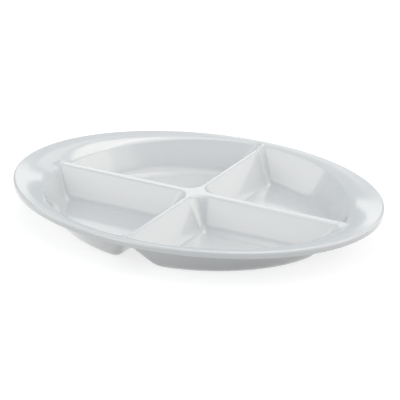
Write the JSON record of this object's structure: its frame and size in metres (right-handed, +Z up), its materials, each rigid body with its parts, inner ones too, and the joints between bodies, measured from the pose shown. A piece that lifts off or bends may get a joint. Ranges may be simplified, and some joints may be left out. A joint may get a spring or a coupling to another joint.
{
  "type": "compartment tray",
  "caption": "Oval white melamine serving tray with a wide turned-down rim and sloping wells parted by crossing hollow dividers, for serving foods side by side.",
  "frame": {"origin": "on the table, under the crossing of the two dividers", "axes": "+X along the long divider, +Y along the short divider, +Z up"},
  "size_m": [0.32, 0.24, 0.031],
  "materials": {
    "melamine": "glossy moulded white melamine"
  },
  "bodies": {
    "root": {"rim_lip": "melamine", "rim_flange": "melamine", "divider_hub": "melamine", "divider_arm_right": "melamine", "divider_arm_left": "melamine", "divider_arm_back": "melamine", "divider_arm_front": "melamine", "well_wall_back_right": "melamine", "well_wall_back_left": "melamine", "well_wall_front_left": "melamine", "well_wall_front_right": "melamine", "well_floor_back_right": "melamine", "well_floor_back_left": "melamine", "well_floor_front_left": "melamine", "well_floor_front_right": "melamine"}
  },
  "joints": []
}
